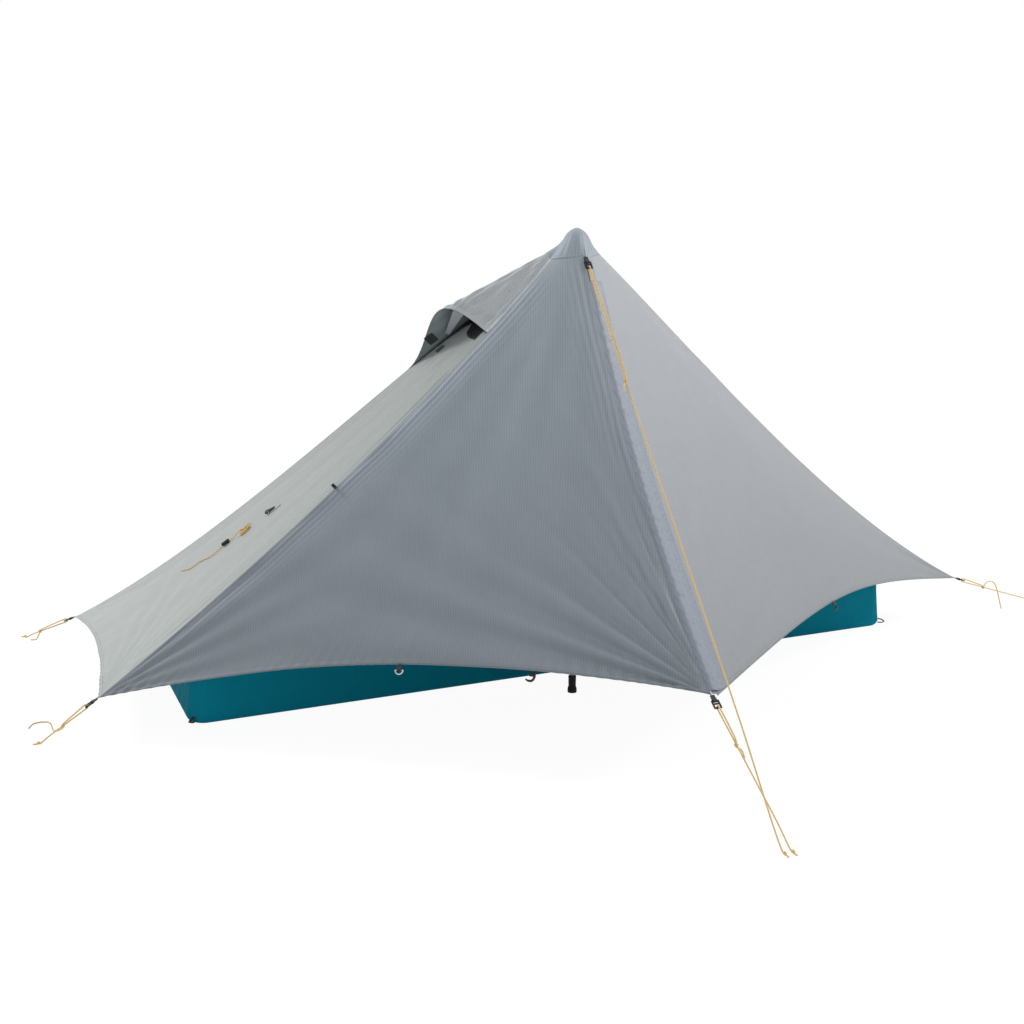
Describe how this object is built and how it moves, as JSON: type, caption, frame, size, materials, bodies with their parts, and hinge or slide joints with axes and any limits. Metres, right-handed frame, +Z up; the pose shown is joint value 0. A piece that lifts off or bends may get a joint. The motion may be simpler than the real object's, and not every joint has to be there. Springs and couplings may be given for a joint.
{
  "type": "trekking pole tent",
  "caption": "Low pyramid tent pitched on a trekking pole, with arched hems, a zipped door under a storm flap, a hooded peak vent, corded guylines and a raised bathtub floor behind mesh.",
  "frame": {"origin": "middle of the trekking pole's foot, on the ground", "axes": "+X towards the head end, +Y towards the back, +Z up along the pole"},
  "size_m": [3.1496, 2.2133, 1.2267],
  "materials": {
    "ripstop_front": "blue-grey coated ripstop, soft sheen",
    "ripstop_side": "lighter grey coated ripstop, soft sheen",
    "ripstop_foot": "greenish grey coated ripstop, soft sheen",
    "prop_fabric": "stiffened grey fabric",
    "black_mesh": "fine black insect mesh",
    "hook_and_loop": "matte pile",
    "zip_tape": "woven tape",
    "steel": "satin",
    "floor_fabric": "dark teal coated fabric, satin",
    "black_webbing": "woven webbing",
    "black_plastic": "moulded, fine texture",
    "yellow_cord": "braided amber yellow cord",
    "anodised_aluminium": "dark anodised, satin",
    "black_rubber": "matte",
    "grip_foam": "fine closed-cell foam"
  },
  "bodies": {
    "tent": {"back_left_panel": "ripstop_side", "back_right_panel": "ripstop_side", "back_webbing": "black_webbing", "bathtub_floor": "floor_fabric", "floor_tab_foot": "black_webbing", "floor_tab_head": "black_webbing", "foot_back_adjuster": "black_plastic", "foot_back_guyline": "yellow_cord", "foot_back_webbing": "black_webbing", "foot_front_adjuster": "black_plastic", "foot_front_guyline": "yellow_cord", "foot_front_webbing": "black_webbing", "foot_panel": "ripstop_foot", "front_adjuster": "black_plastic", "front_guyline": "yellow_cord", "front_left_panel": "ripstop_front", "front_right_panel": "ripstop_side", "front_webbing": "black_webbing", "head_back_webbing": "black_webbing", "head_front_adjuster": "black_plastic", "head_front_guyline": "yellow_cord", "head_front_webbing": "black_webbing", "head_panel": "ripstop_side", "hem_hook_left": "black_plastic", "hem_ring": "steel", "hem_ring_strap": "black_webbing", "lower_shaft": "anodised_aluminium", "mesh_door_roll": "black_mesh", "mesh_front_wall": "black_mesh", "mesh_skirt": "black_mesh", "peak_adjuster": "black_plastic", "peak_cap": "ripstop_front", "peak_guyline": "yellow_cord", "peak_webbing": "black_webbing", "pole_basket": "black_plastic", "pole_foot": "black_rubber", "ridge_tab": "black_webbing", "side_cord": "yellow_cord", "side_cord_lock": "black_plastic", "side_patch": "ripstop_foot", "side_webbing": "black_webbing", "vent_hood": "ripstop_foot", "vent_hood_patch": "hook_and_loop", "vent_mesh": "black_mesh", "vent_panel_patch": "hook_and_loop", "zip_tape_fixed": "zip_tape"},
    "door": {"door_panel": "ripstop_side", "zip_tape_door": "zip_tape", "storm_flap": "ripstop_front", "hem_hook_right": "black_plastic"},
    "slider": {"zip_slider": "steel"},
    "prop": {"vent_prop": "prop_fabric"},
    "middle_pole": {"middle_shaft": "anodised_aluminium", "lower_collar": "black_plastic"},
    "lower_lock": {"lower_lever": "black_plastic"},
    "upper_pole": {"upper_shaft": "anodised_aluminium", "upper_collar": "black_plastic", "pole_grip": "grip_foam", "wrist_strap": "black_webbing"},
    "upper_lock": {"upper_lever": "black_plastic"}
  },
  "joints": [
    {"name": "door_swing", "type": "hinge", "parent": "tent", "child": "door", "pos_m": [0.03316, -0.00753, 1.187], "axis": [-0.6249, 0.1419, 0.7677], "range_deg": [0, 100]},
    {"name": "zip_run", "type": "hinge", "parent": "tent", "child": "slider", "pos_m": [0, -3.12781, 2.65514], "axis": [1, 0, 0], "range_deg": [0, 16.27]},
    {"name": "vent_prop_swing", "type": "hinge", "parent": "tent", "child": "prop", "pos_m": [-0.29334, 0.10334, 1.02229], "axis": [-0.7413, 0.5513, 0.3828], "range_deg": [0, 40]},
    {"name": "middle_slide", "type": "slide", "parent": "tent", "child": "middle_pole", "axis": [0, 0, 1], "range_m": [-0.25, 0]},
    {"name": "lower_lever_swing", "type": "hinge", "parent": "middle_pole", "child": "lower_lock", "pos_m": [0.0162, 0, 0.401], "axis": [0, 0, -1], "range_deg": [0, 100]},
    {"name": "upper_slide", "type": "slide", "parent": "middle_pole", "child": "upper_pole", "axis": [0, 0, 1], "range_m": [-0.25, 0]},
    {"name": "upper_lever_swing", "type": "hinge", "parent": "upper_pole", "child": "upper_lock", "pos_m": [0.0172, 0, 0.766], "axis": [0, 0, -1], "range_deg": [0, 100]}
  ]
}
